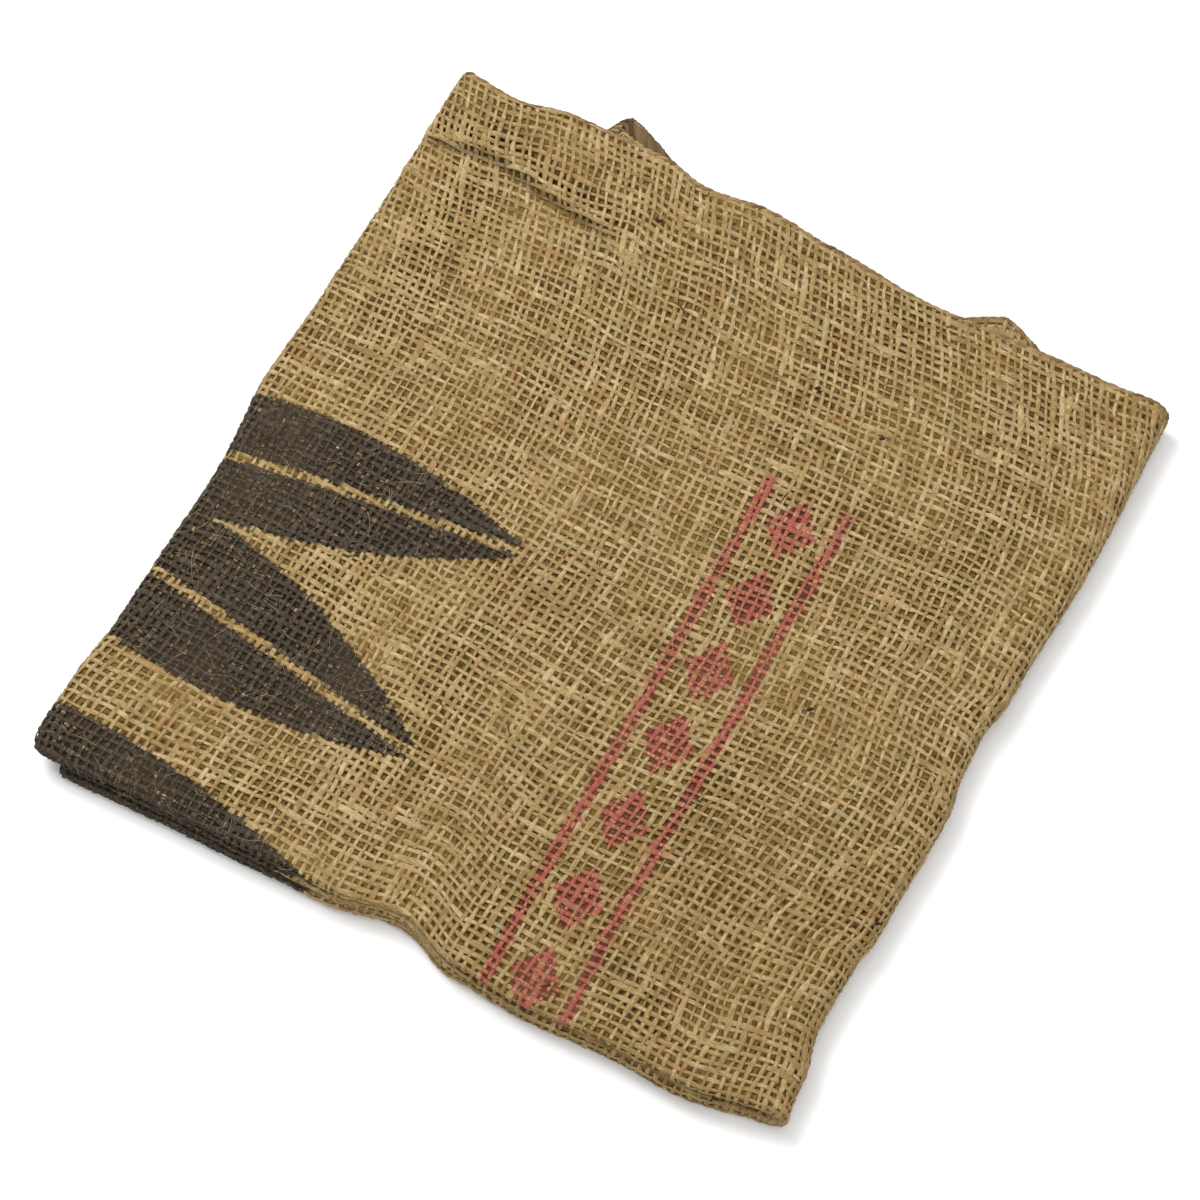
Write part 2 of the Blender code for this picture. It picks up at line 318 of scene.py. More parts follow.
# %% The whole fold
def folded(y, turn, offset, u, fine=1.0):
    """The place in the packet of a point `offset` from the sack's own middle, as (..., 3)."""
    radius = HALF_FOLD_RADIUS + offset
    height = radius * np.cos(turn)
    y = y - radius * np.sin(turn)
    x, z, share, right = along(u, height)
    at_bottom = (-0.0022 + 0.0010 * share) * (1.0 - smooth(right / math.pi))
    at_middle = np.where(u > U_MIDDLE, -0.0020 * share, 0.0)
    y = y + np.where(u < U_TOP, at_bottom, at_middle)
    upper = turn < 0.5 * math.pi
    y = y + np.where(upper & (u > U_MIDDLE), peek(MIDDLE_PEEK, x, y), 0.0)
    y = y + np.where(upper & (u < U_RIGHT), peek(BOTTOM_PEEK, x, y), 0.0)
    out_x, out_y = outline_shift(x, y)
    x, y = x + out_x, y + out_y
    inside = np.minimum(
        np.minimum(x - LEFT_FOLD_X, RIGHT_FOLD_X - x), np.minimum(y - HALF_FOLD_Y, SIDE_Y - y)
    )
    level = z / STACK_HEIGHT
    y = y + fine * tuck_pull(x, y) * level**4
    z = z + crease_rise(x, y) * level**2 + fine * fine_rise(x, y) * level**4
    z = z - EDGE_DROOP * (1.0 - smooth(inside / DROOP_REACH)) * level
    return np.stack(np.broadcast_arrays(x - CENTRE[0], y - CENTRE[1], z), axis=-1)


def on_cloth(s, u, out):
    return folded(*across(s, out), u)


def cloth_normal(s, u):
    step = 0.0002
    normal = on_cloth(s, u, step) - on_cloth(s, u, -step)
    return normal / np.linalg.norm(normal, axis=-1, keepdims=True)


print("corner of the top, mm:", (1000 * on_cloth(np.array(0.0), np.array(U_LEFT), 0.0)).round(1))

# %% [markdown]
# ## The cloth as a thin sheet
# Under the yarns lies a thin closed skin of the whole sack: front and back panel in all three
# thirds, both sides, the mouth and the sewn end. It is what one sees through the holes of the
# weave, between the stacked edges and on the underside. It is thinner than the cloth and lies
# near the sack's middle, so that the yarns have depth over it. Folding by functions, rather than
# by a Cloth simulation, keeps twelve close layers apart and gives the same result each time.

# %% Sheet stations
SHEET_THICKNESS = 0.0003
SHEET_OFFSET = 0.00017
COARSE_STEP = 0.0100
FINE_STEP = 0.0040
TUCK_ZONE = 0.046


def spaced(start, end, step):
    """Even steps from start up to end, end left out."""
    count = max(int(math.ceil(abs(end - start) / step)), 1)
    return list(np.linspace(start, end, count + 1)[:-1])


def sheet_columns():
    upper = spaced(0.0, TUCK_ZONE, FINE_STEP) + spaced(TUCK_ZONE, FLAT, COARSE_STEP)
    bend = list(np.linspace(FLAT, FLAT + HALF_ARC, 9))
    return np.array(upper + bend + [ROUND - s for s in reversed(upper)])


def sheet_rows():
    bottom = spaced(0.0, U_RIGHT, COARSE_STEP)
    right = spaced(U_RIGHT, U_TOP, RIGHT_ARC / 12)
    top = spaced(U_TOP, U_LEFT, COARSE_STEP)
    left = spaced(U_LEFT, U_MIDDLE, LEFT_ARC / 8)
    return np.array(bottom + right + top + left + spaced(U_MIDDLE, U_END, COARSE_STEP) + [U_END])


# %% One skin of the sheet
SIDE_TURNS = math.pi * np.array([0.25, 0.5, 0.75])


def skin_points(wall):
    """Points (row, ring, 3) of a skin `wall` outside the sheet's middle, and their ring lengths."""
    columns = sheet_columns()
    y, turn, _ = across(columns, -PANEL_RADIUS)
    reach = SHEET_OFFSET + wall
    side_y = SIDE_Y + reach * np.sin(SIDE_TURNS)
    side_offset = reach * np.cos(SIDE_TURNS)
    offset = np.full(len(y), reach)
    ring_y = np.concatenate([y, side_y, y[::-1], side_y])
    ring_turn = np.concatenate([turn, np.full(3, math.pi), turn[::-1], np.zeros(3)])
    ring_offset = np.concatenate([offset, side_offset, -offset, -side_offset])
    lengths = np.concatenate([columns, ROUND + 0.0003 * SIDE_TURNS])
    ring_s = np.concatenate([lengths, ROUND + 0.001 + lengths, [2.0 * ROUND + 0.002]])
    rows = sheet_rows()
    places = folded(ring_y[None], ring_turn[None], ring_offset[None], rows[:, None], fine=0.0)
    return places, ring_s, rows


# %% The closed sheet
def ring_quads(rows, count, first):
    """Quads round a skin as (vertex numbers, ring step, row) for their four corners."""
    i, j = np.meshgrid(np.arange(rows - 1), np.arange(count), indexing="ij")
    step = np.stack([j, j, j + 1, j + 1], -1).reshape(-1, 4)
    row = np.stack([i, i + 1, i + 1, i], -1).reshape(-1, 4)
    return first + row * count + step % count, step, row


def sewn_faces(first, panel, count):
    """Faces that close one skin's last row, rung by rung between front and back panel."""
    faces = []
    across_it = 2 * panel + 1
    for i in range(-2, panel + 1):
        rung = [k % count for k in (i, i + 1, across_it - i, across_it + 1 - i)]
        faces.append([first + k for k in dict.fromkeys(rung)])
    return faces


def make_sheet(name):
    outer, ring_s, rows = skin_points(0.5 * SHEET_THICKNESS)
    inner, _, _ = skin_points(-0.5 * SHEET_THICKNESS)
    high, count = outer.shape[:2]
    faces, places = [], []
    for first in (0, high * count):
        quads, step, row = ring_quads(high, count, first)
        faces += quads.tolist()
        places.append(np.stack([ring_s[step], rows[row]], -1).reshape(-1, 2))
        faces += sewn_faces(first + (high - 1) * count, len(sheet_columns()), count)
        closing = sum(len(face) for face in faces[-len(sheet_columns()) - 3 :])
        places.append(np.zeros((closing, 2)))
    for j in range(count):
        k = (j + 1) % count
        faces.append([j, k, k + high * count, j + high * count])
        places.append(np.tile([ring_s[j], 0.0], (4, 1)))
    mesh = bpy.data.meshes.new(name)
    mesh.from_pydata(np.concatenate([outer, inner]).reshape(-1, 3).tolist(), [], faces)
    layer = mesh.uv_layers.new(name="cloth")
    layer.data.foreach_set("uv", np.concatenate(places).astype(np.float32).ravel())
    piece = bpy.data.objects.new(name, mesh)
    bpy.context.scene.collection.objects.link(piece)
    return piece


bag_cloth = make_sheet("bag_cloth")
print("sheet:", len(bag_cloth.data.polygons), "faces")

# %% [markdown]
# ## The weave
# Burlap is a plain weave: each yarn goes over one and under the next. Two sets of yarns cross at
# a lattice of crossings, so the lattice comes first. Its rows wander: a slow drift that all the
# yarns of a place share, because cloth skews, and a small one of each yarn's own.

# %% Lattice of crossings
SPACING = 0.00305
DRIFT = 0.0011
WANDER = 0.00034
SKEW_START_Y = 0.010
SKEW_CURVE = 1.47
SKEW_SLOPE = 0.055
WAVE_LENGTHS = np.array([0.017, 0.031, 0.058, 0.121])
YARNS = 1024
phases = np.random.default_rng(17).uniform(0.0, 2.0 * math.pi, (2, YARNS, 5, len(WAVE_LENGTHS)))
LONG, CROSS = 0, 1


def own_wave(direction, quality, yarn, where):
    """An uneven value, about 1 high, along each yarn, which no other yarn shares."""
    start = phases[direction, yarn % YARNS, quality]
    waves = np.sin(2.0 * math.pi * where[..., None] / WAVE_LENGTHS + start)
    return waves.sum(-1) / math.sqrt(0.5 * len(WAVE_LENGTHS))


def skew(s):
    """How far along the sack the cross yarns are drawn at s: the far half was pulled askew."""
    y = np.clip(SIDE_Y - s, HALF_FOLD_Y, SIDE_Y + 0.006)
    return SKEW_CURVE * np.maximum(y - SKEW_START_Y, 0.0) ** 2 - SKEW_SLOPE * np.minimum(y, 0.0)


def lattice(ks, js):
    """(s, u) where long yarn k crosses cross yarn j."""
    k, j = np.meshgrid(ks, js, indexing="ij")
    s, u = (k + 0.5) * SPACING, (j + 0.5) * SPACING
    u = u + skew(s)
    at_s = s + DRIFT * slow_waves(s, u, 21, 0.070, 0.260) + WANDER * own_wave(LONG, 0, k, u)
    at_u = u + DRIFT * slow_waves(s, u, 22, 0.070, 0.260) + WANDER * own_wave(CROSS, 0, j, s)
    return at_s, at_u


# %% [markdown]
# A yarn's middle line has two points at each crossing, just before and just after it, both high
# where it goes over and both low where it goes under. That keeps the flat-topped look of jute
# with few points. Each point also carries its cloth normal, its girth and its tone, and where
# it is on the flat cloth, in the axes of the top, from which the printed marks are worked out.

# %% Yarn middle lines
CROSSING_SHARE = 0.27
RISE = {LONG: 0.00015, CROSS: 0.00015}


def both_sides(values):
    """Two values for each crossing: a little before it and a little after it, along the yarn."""
    step = np.diff(values, axis=1)
    before = values - CROSSING_SHARE * np.concatenate([step[:, :1], step], axis=1)
    after = values + CROSSING_SHARE * np.concatenate([step, step[:, -1:]], axis=1)
    return np.stack([before, after], axis=2).reshape(len(values), -1)


def yarn_lines(direction, ks, js):
    """Middle lines of one set of yarns over a patch of the lattice, as a dictionary of arrays."""
    at_s, at_u = lattice(ks, js)
    parity = 1.0 - 2.0 * ((ks[:, None] + js[None, :]) % 2)
    if direction == CROSS:
        at_s, at_u, parity = at_s.T, at_u.T, -parity.T
    yarns = (ks if direction == LONG else js)[:, None]
    s, u = both_sides(at_s), both_sides(at_u)
    lift = np.repeat(parity, 2, axis=1)
    where = u if direction == LONG else s
    slub = smooth((own_wave(direction, 2, yarns, 0.8 * where) - 0.95) / 0.8)
    girth = 0.97 + 0.20 * own_wave(direction, 1, yarns, 1.4 * where) + 0.60 * slub
    whole_yarn = own_wave(direction, 3, yarns, 0.0 * where)
    tone = 0.5 * (whole_yarn + own_wave(direction, 4, yarns, where))
    return {
        "place": on_cloth(s, u, RISE[direction] * lift),
        "up": cloth_normal(s, u),
        "girth": np.clip(girth, 0.60, 1.75),
        "tone": tone,
        "lift": lift,
        "shade": tuck_shade(on_cloth(s, u, 0.0)),
        "cloth": np.stack([PRINT_X - u, SIDE_Y - s, where + 0.0 * s], axis=-1),
    }


# %% [markdown]
# ## Sweeping the yarns
# Geometry Nodes turn each middle line into a tube. Mesh to Curve makes one curve of each line,
# Set Curve Normal turns its flat side to the cloth, and Curve to Mesh sweeps a flattened ring
# along it, as wide at each point as the girth there says.

# %% The yarn tree
def add_input(tree, name, kind, value):
    socket = tree.interface.new_socket(name, in_out="INPUT", socket_type="NodeSocket" + kind)
    if value is not None:
        socket.default_value = value
    return socket


def named(tree, name, kind):
    node = tree.nodes.new("GeometryNodeInputNamedAttribute")
    node.data_type = kind
    node.inputs["Name"].default_value = name
    return node.outputs["Attribute"]


def yarn_tree():
    tree = bpy.data.node_groups.new("swept yarn", "GeometryNodeTree")
    add_input(tree, "Geometry", "Geometry", None)
    add_input(tree, "Width", "Float", 0.0014)
    add_input(tree, "Thickness", "Float", 0.0008)
    add_input(tree, "Sides", "Int", 5)
    add_input(tree, "Material", "Material", None)
    tree.interface.new_socket("Geometry", in_out="OUTPUT", socket_type="NodeSocketGeometry")
    node, link = tree.nodes.new, tree.links.new
    given, result = node("NodeGroupInput"), node("NodeGroupOutput")
    curve, normal = node("GeometryNodeMeshToCurve"), node("GeometryNodeSetCurveNormal")
    ring, shape = node("GeometryNodeCurvePrimitiveCircle"), node("GeometryNodeTransform")
    size, sweep = node("ShaderNodeCombineXYZ"), node("GeometryNodeCurveToMesh")
    round_off, finish = node("GeometryNodeSetShadeSmooth"), node("GeometryNodeSetMaterial")
    real = node("GeometryNodeRealizeInstances")
    normal.mode = "FREE"
    ring.inputs["Radius"].default_value = 0.5
    shape.inputs["Rotation"].default_value = (0.0, 0.0, math.pi)
    sweep.inputs["Fill Caps"].default_value = True
    link(given.outputs["Geometry"], curve.inputs["Mesh"])
    link(curve.outputs["Curve"], normal.inputs["Curve"])
    link(named(tree, "up", "FLOAT_VECTOR"), normal.inputs["Normal"])
    link(given.outputs["Sides"], ring.inputs["Resolution"])
    link(given.outputs["Thickness"], size.inputs["X"])
    link(given.outputs["Width"], size.inputs["Y"])
    link(ring.outputs["Curve"], shape.inputs["Geometry"])
    link(size.outputs["Vector"], shape.inputs["Scale"])
    link(normal.outputs["Curve"], sweep.inputs["Curve"])
    link(shape.outputs["Geometry"], sweep.inputs["Profile Curve"])
    link(named(tree, "girth", "FLOAT"), sweep.inputs["Scale"])
    link(sweep.outputs["Mesh"], round_off.inputs["Geometry"])
    link(round_off.outputs["Geometry"], real.inputs["Geometry"])
    link(real.outputs["Geometry"], finish.inputs["Geometry"])
    link(given.outputs["Material"], finish.inputs["Material"])
    link(finish.outputs["Geometry"], result.inputs["Geometry"])
    return tree


# %% From lines to a finished piece
def lines_mesh(name, patches):
    """A mesh of bare edges along all patches' middle lines, with their values on its points."""
    mesh = bpy.data.meshes.new(name)
    shapes = [patch["tone"].shape for patch in patches]
    starts = np.cumsum([0] + [rows * length for rows, length in shapes])
    edges = []
    for (rows, length), start in zip(shapes, starts):
        index = start + np.arange(rows * length).reshape(rows, length)
        edges.append(np.stack([index[:, :-1], index[:, 1:]], -1).reshape(-1, 2))
    joined = {}
    for key in patches[0]:
        values = [patch[key].reshape(-1, *patch[key].shape[2:]) for patch in patches]
        joined[key] = np.concatenate(values).astype(np.float32)
    mesh.from_pydata(joined["place"].tolist(), np.concatenate(edges).tolist(), [])
    for key, values in joined.items():
        if key != "place":
            vector = values.ndim == 2
            layer = mesh.attributes.new(key, "FLOAT_VECTOR" if vector else "FLOAT", "POINT")
            layer.data.foreach_set("vector" if vector else "value", values.ravel())
    return mesh, [length for rows, length in shapes for _ in range(rows)]


def set_inputs(modifier, **values):
    """Sets a Geometry Nodes modifier's inputs, found by name and set by identifier."""
    for item in modifier.node_group.interface.items_tree:
        if item.in_out == "INPUT" and item.name in values:
            modifier[item.identifier] = values[item.name]


def baked(piece):
    """The piece with its modifiers' result as its plain mesh."""
    graph = bpy.context.evaluated_depsgraph_get()
    mesh = bpy.data.meshes.new_from_object(piece.evaluated_get(graph))
    piece.modifiers.clear()
    piece.data = mesh
    mesh.name = piece.name
    return piece


def strip_map(mesh, lengths, sides):
    """A map on which each yarn is a strip of its own, so that no two faces share a place."""
    ring = np.concatenate([np.arange(length) / (length - 1.0) for length in lengths])
    yarn = np.repeat(np.arange(len(lengths)), lengths)
    vertex = np.empty(len(mesh.loops), np.int32)
    mesh.loops.foreach_get("vertex_index", vertex)
    start = np.empty(len(mesh.polygons), np.int32)
    total = np.empty(len(mesh.polygons), np.int32)
    mesh.polygons.foreach_get("loop_start", start)
    mesh.polygons.foreach_get("loop_total", total)
    face = np.repeat(np.arange(len(start)), total)
    turn = (vertex % sides).astype(float)
    most = np.maximum.reduceat(turn, start)[face]
    is_side = (total == 4)[face]
    turn = np.where(is_side & (most == sides - 1) & (turn == 0), sides, turn)
    aside = (yarn[vertex // sides] + turn / (sides + 0.5)) / len(lengths)
    place = np.stack([ring[vertex // sides], aside])
    layer = mesh.uv_layers.new(name="OFBake")
    layer.data.foreach_set("uv", place.T.astype(np.float32).ravel())


def triangles(piece):
    return len(piece.data.loops) - 2 * len(piece.data.polygons)


def sweep(name, patches, width, thickness, sides, material):
    """A finished piece: every line of the patches as a tube with flattened rings."""
    mesh, lengths = lines_mesh(name, patches)
    piece = bpy.data.objects.new(name, mesh)
    bpy.context.scene.collection.objects.link(piece)
    modifier = piece.modifiers.new("yarn", "NODES")
    modifier.node_group = yarn_nodes
    set_inputs(modifier, Width=width, Thickness=thickness, Sides=sides, Material=material)
    baked(piece)
    strip_map(piece.data, lengths, sides)
    print(name + ":", len(lengths), "lines,", triangles(piece), "triangles")
    return piece


yarn_nodes = yarn_tree()

# %% [markdown]
# ## Finishes
# Jute is a dull gold-brown bast fibre. The finish is built from noise in object coordinates:
# broad stains, a mottle the size of a few crossings, and fine streaks along each yarn. Tone
# and cloth place come from the yarns' own values, so that a mark follows the cloth round folds.
# Painted shade darkens each yarn a little where it passes under a crossing, and deeply along
# the foot of the tuck.

# %% Shader helpers
class Shader:
    """Small helpers that add nodes to one material or group."""

    def __init__(self, tree):
        self.tree = tree

    def node(self, kind, **settings):
        made = self.tree.nodes.new(kind)
        for key, value in settings.items():
            setattr(made, key, value)
        return made

    def put(self, socket, value):
        if isinstance(value, bpy.types.NodeSocket):
            self.tree.links.new(value, socket)
        elif value is not None:
            socket.default_value = value

    def math(self, operation, first, second=None, third=None, clamp=False):
        made = self.node("ShaderNodeMath", operation=operation, use_clamp=clamp)
        for socket, value in zip(made.inputs, (first, second, third)):
            self.put(socket, value)
        return made.outputs[0]

    def attribute(self, name, output="Fac"):
        return self.node("ShaderNodeAttribute", attribute_name=name).outputs[output]

    def scaled(self, vector, scale):
        made = self.node("ShaderNodeMapping")
        self.put(made.inputs["Vector"], vector)
        made.inputs["Scale"].default_value = scale
        return made.outputs[0]

    def noise(self, vector, scale, detail=2.0, roughness=0.5):
        made = self.node("ShaderNodeTexNoise")
        self.put(made.inputs["Vector"], vector)
        made.inputs["Scale"].default_value = scale
        made.inputs["Detail"].default_value = detail
        made.inputs["Roughness"].default_value = roughness
        return made.outputs["Fac"]

    def ramp(self, value, *stops):
        made = self.node("ShaderNodeValToRGB")
        self.put(made.inputs["Fac"], value)
        while len(made.color_ramp.elements) < len(stops):
            made.color_ramp.elements.new(0.5)
        for element, (position, colour) in zip(made.color_ramp.elements, stops):
            element.position = position
            element.color = (*colour, 1.0)
        return made.outputs["Color"]

    def mix(self, share, first, second, blend="MIX"):
        made = self.node("ShaderNodeMix", data_type="RGBA", blend_type=blend)
        for name, value in (("Factor", share), ("A", first), ("B", second)):
            socket = next(s for s in made.inputs if s.name == name and s.enabled)
            if isinstance(value, tuple):
                value = (*value, 1.0)
            self.put(socket, value)
        return next(s for s in made.outputs if s.enabled)

    def step(self, value, low, high):
        """0 below low, 1 above high, and smooth between them."""
        made = self.node("ShaderNodeMapRange", interpolation_type="SMOOTHSTEP")
        self.put(made.inputs["Value"], value)
        made.inputs["From Min"].default_value = low
        made.inputs["From Max"].default_value = high
        return made.outputs["Result"]


# %% [markdown]
# The sack bears printed marks: broad black ones by the left fold and a red row across the
# right half. They are plain shapes here: leaves with a bare rib, and lozenges between two lines.
# The marks are worked out from where a point is on the flat cloth, so they run over the folds.

# %% Printed marks
#    x,      y,      half length, half width, turn in degrees
LEAVES = (
    (-0.128, -0.020, 0.104, 0.0250, 8.0),
    (-0.126, -0.073, 0.106, 0.0260, -9.0),
    (-0.152, -0.153, 0.124, 0.0270, 3.0),
    (0.392, -0.156, 0.080, 0.0270, 0.0),
)
LEAF_RIB = 0.0016
RED_MIDDLE_X = 0.0485
RED_TOP_Y = 0.046
RED_STEP = 0.0300
RED_LENGTH = 8.5 * RED_STEP
RED_HALF_LENGTH = 0.0125
RED_HALF_WIDTH = 0.0095
RED_LINE_X = 0.0150
RED_LINE_WIDTH = 0.0022
INK_EDGE = 0.0005
INK_BLEED = 0.0030


def leaf_mask(paint, x, y, row):
    """1 on one leaf and 0 off it. Its rib stays bare."""
    cx, cy, half_length, half_width, turn = row
    cosine, sine = math.cos(math.radians(turn)), math.sin(math.radians(turn))
    dx, dy = paint.math("SUBTRACT", x, cx), paint.math("SUBTRACT", y, cy)
    forward = paint.math("MULTIPLY_ADD", dx, cosine, paint.math("MULTIPLY", dy, sine))
    sideways = paint.math("MULTIPLY_ADD", dx, -sine, paint.math("MULTIPLY", dy, cosine))
    share = paint.math("DIVIDE", forward, half_length)
    narrowing = paint.math("SUBTRACT", 1.0, paint.math("MULTIPLY", share, share))
    outline = paint.math("MULTIPLY", narrowing, half_width)
    aside = paint.math("ABSOLUTE", sideways)
    blade = paint.step(paint.math("SUBTRACT", outline, aside), -INK_EDGE, INK_EDGE)
    rib = paint.step(aside, LEAF_RIB - INK_EDGE, LEAF_RIB + INK_EDGE)
    return paint.math("MULTIPLY", blade, rib)


def red_mask(paint, x, y):
    """1 on the row of lozenges and its two lines, and 0 off them."""
    off = paint.math("ABSOLUTE", paint.math("SUBTRACT", x, RED_MIDDLE_X))
    down = paint.math("SUBTRACT", RED_TOP_Y, y)
    within = paint.math("PINGPONG", down, 0.5 * RED_STEP)
    lengthwise = paint.math("DIVIDE", within, RED_HALF_LENGTH)
    reach = paint.math("ADD", lengthwise, paint.math("DIVIDE", off, RED_HALF_WIDTH))
    lozenge = paint.step(paint.math("SUBTRACT", 1.0, reach), -0.05, 0.05)
    from_line = paint.math("ABSOLUTE", paint.math("SUBTRACT", off, RED_LINE_X))
    line = paint.step(paint.math("SUBTRACT", RED_LINE_WIDTH, from_line), -INK_EDGE, INK_EDGE)
    first, last = -0.5 * RED_STEP, RED_LENGTH
    begun = paint.step(down, first - INK_EDGE, first + INK_EDGE)
    unfinished = paint.step(down, last + INK_EDGE, last - INK_EDGE)
    row = paint.math("MULTIPLY", begun, unfinished)
    return paint.math("MULTIPLY", paint.math("MAXIMUM", lozenge, line), row)


def marks_group():
    group = bpy.data.node_groups.new("printed marks", "ShaderNodeTree")
    group.interface.new_socket("Cloth", in_out="INPUT", socket_type="NodeSocketVector")
    group.interface.new_socket("Black", in_out="OUTPUT", socket_type="NodeSocketFloat")
    group.interface.new_socket("Red", in_out="OUTPUT", socket_type="NodeSocketFloat")
    paint = Shader(group)
    given, result = paint.node("NodeGroupInput"), paint.node("NodeGroupOutput")
    cloth = given.outputs["Cloth"]
    parts = paint.node("ShaderNodeSeparateXYZ")
    paint.put(parts.inputs[0], cloth)
    uneven = paint.math("SUBTRACT", paint.noise(cloth, 700.0), 0.5)
    bleed = paint.math("MULTIPLY", uneven, INK_BLEED)
    x = paint.math("ADD", parts.outputs["X"], bleed)
    y = paint.math("ADD", parts.outputs["Y"], bleed)
    black = [leaf_mask(paint, x, y, row) for row in LEAVES]
    while len(black) > 1:
        black = [paint.math("MAXIMUM", black[0], black[1]), *black[2:]]
    grain = paint.noise(cloth, 900.0, 3.0, 0.7)
    rubbed, faded = paint.step(grain, 0.30, 0.40), paint.step(grain, 0.36, 0.50)
    paint.put(result.inputs["Black"], paint.math("MULTIPLY", black[0], rubbed))
    paint.put(result.inputs["Red"], paint.math("MULTIPLY", red_mask(paint, x, y), faded))
    return group


marks = marks_group()


# %% Yarn finish
DARK_JUTE = (0.165, 0.104, 0.032)
MID_JUTE = (0.305, 0.207, 0.083)
PALE_JUTE = (0.470, 0.358, 0.195)
RUSTY_JUTE = (0.300, 0.155, 0.062)
GREY_JUTE = (0.265, 0.230, 0.125)
BLACK_INK = (0.020, 0.016, 0.013)
WORN_BLACK = (0.078, 0.060, 0.043)
RED_INK = (0.270, 0.045, 0.040)
WORN_RED = (0.340, 0.130, 0.085)
DEEP_SHADE = (0.036, 0.022, 0.008)
DARKER_CORNER = (0.100, -0.110, 0.015)
DARKER_CORNER_REACH = 0.110


def jute_shader(name):
    material = bpy.data.materials.new(name)
    material.use_nodes = True
    paint = Shader(material.node_tree)
    surface = material.node_tree.nodes["Principled BSDF"]
    surface.inputs["Roughness"].default_value = 0.85
    surface.inputs["Specular IOR Level"].default_value = 0.18
    return material, paint, surface


def bumped(paint, surface, height, strength, distance):
    made = paint.node("ShaderNodeBump")
    made.inputs["Strength"].default_value = strength
    made.inputs["Distance"].default_value = distance
    paint.put(made.inputs["Height"], height)
    paint.put(surface.inputs["Normal"], made.outputs["Normal"])


def printed(paint, colour, cloth, strength, depth=1.0):
    """The colour with the marks on it. Down in the holes `depth` is below 1: painted shade that
    darkens the ink there.
    """
    group = paint.node("ShaderNodeGroup", node_tree=marks)
    paint.put(group.inputs["Cloth"], cloth)
    black = paint.math("MULTIPLY", group.outputs["Black"], strength)
    red = paint.math("MULTIPLY", group.outputs["Red"], strength)
    wear = paint.step(paint.noise(cloth, 1300.0, 3.0, 0.75), 0.40, 0.68)
    black_ink = paint.mix(wear, *[tuple(depth * v for v in ink) for ink in (BLACK_INK, WORN_BLACK)])
    red_ink = paint.mix(wear, *[tuple(depth * v for v in ink) for ink in (RED_INK, WORN_RED)])
    return paint.mix(black, paint.mix(red, colour, red_ink), black_ink)


def corner_darkening(paint, place):
    """1 in the corner by both folds, which is made darker, and 0 away from it."""
    away = paint.node("ShaderNodeVectorMath", operation="DISTANCE")
    paint.put(away.inputs[0], place)
    away.inputs[1].default_value = DARKER_CORNER
    return paint.step(away.outputs["Value"], DARKER_CORNER_REACH, 0.3 * DARKER_CORNER_REACH)


#    how much each cause changes a yarn's place between dark and pale
STREAK_SHARE = 0.95
MOTTLE_SHARE = 0.45
VALUE_SHIFT = -0.20
TONE_SHARE = 0.072
DARKER_CORNER_SHARE = 0.040
LIFT_SHADE_SHARE = 0.006
RUSTY_SHARE = 0.65
GREY_SHARE = 0.60
SHADE_SHARE = 0.62
FLAT_ACROSS = (1.0, 1.0, 7.0)


def yarn_material(name, streak_scale):
    """Jute with streaks along the yarn: `streak_scale` is how fine they are along each axis."""
    material, paint, surface = jute_shader(name)
    place = paint.node("ShaderNodeTexCoord").outputs["Object"]
    mottle = paint.noise(place, 190.0, 3.0, 0.65)
    streaks = paint.noise(paint.scaled(place, streak_scale), 1.0, 3.0, 0.7)
    base = paint.math("MULTIPLY_ADD", mottle, MOTTLE_SHARE, VALUE_SHIFT)
    value = paint.math("MULTIPLY_ADD", streaks, STREAK_SHARE, base)
    value = paint.math("MULTIPLY_ADD", paint.attribute("tone"), TONE_SHARE, value)
    # the yarns are made darker towards the corner by both folds
    value = paint.math("MULTIPLY_ADD", corner_darkening(paint, place), -DARKER_CORNER_SHARE, value)
    # painted shade: each yarn a little darker where it passes under a crossing and paler where it
    # goes over
    value = paint.math("MULTIPLY_ADD", paint.attribute("lift"), LIFT_SHADE_SHARE, value)
    colour = paint.ramp(value, (0.30, DARK_JUTE), (0.50, MID_JUTE), (0.70, PALE_JUTE))
    rusty = paint.step(paint.noise(place, 150.0, 3.0, 0.7), 0.54, 0.72)
    colour = paint.mix(paint.math("MULTIPLY", rusty, RUSTY_SHARE), colour, RUSTY_JUTE)
    grey = paint.noise(paint.scaled(place, FLAT_ACROSS), 120.0, 3.0, 0.7)
    grey = paint.step(grey, 0.55, 0.73)
    colour = paint.mix(paint.math("MULTIPLY", grey, GREY_SHARE), colour, GREY_JUTE)
    colour = printed(paint, colour, paint.attribute("cloth", "Vector"), strength=0.96)
    shade = paint.math("MULTIPLY", paint.attribute("shade"), SHADE_SHARE)
    colour = paint.mix(shade, colour, DEEP_SHADE)
    paint.put(surface.inputs["Base Color"], colour)
    bumped(paint, surface, streaks, strength=0.7, distance=0.0003)
    return material


long_finish = yarn_material("jute_long_yarn", (260.0, 2600.0, 2600.0))
cross_finish = yarn_material("jute_cross_yarn", (2600.0, 260.0, 2600.0))


# %% Ground finish
GROUND_STOPS = (0.30, 0.62, 0.85)
# under the swept yarns the sheet gets the first colours: painted shade for the weave's holes; on
# bare panels it gets the cloth's own colours
SHADED_HOLE_COLOURS = (0.030, 0.016, 0.003), (0.096, 0.054, 0.010), (0.175, 0.105, 0.024)
CLOTH_COLOURS = (0.070, 0.044, 0.014), (0.255, 0.172, 0.064), (0.430, 0.315, 0.140)


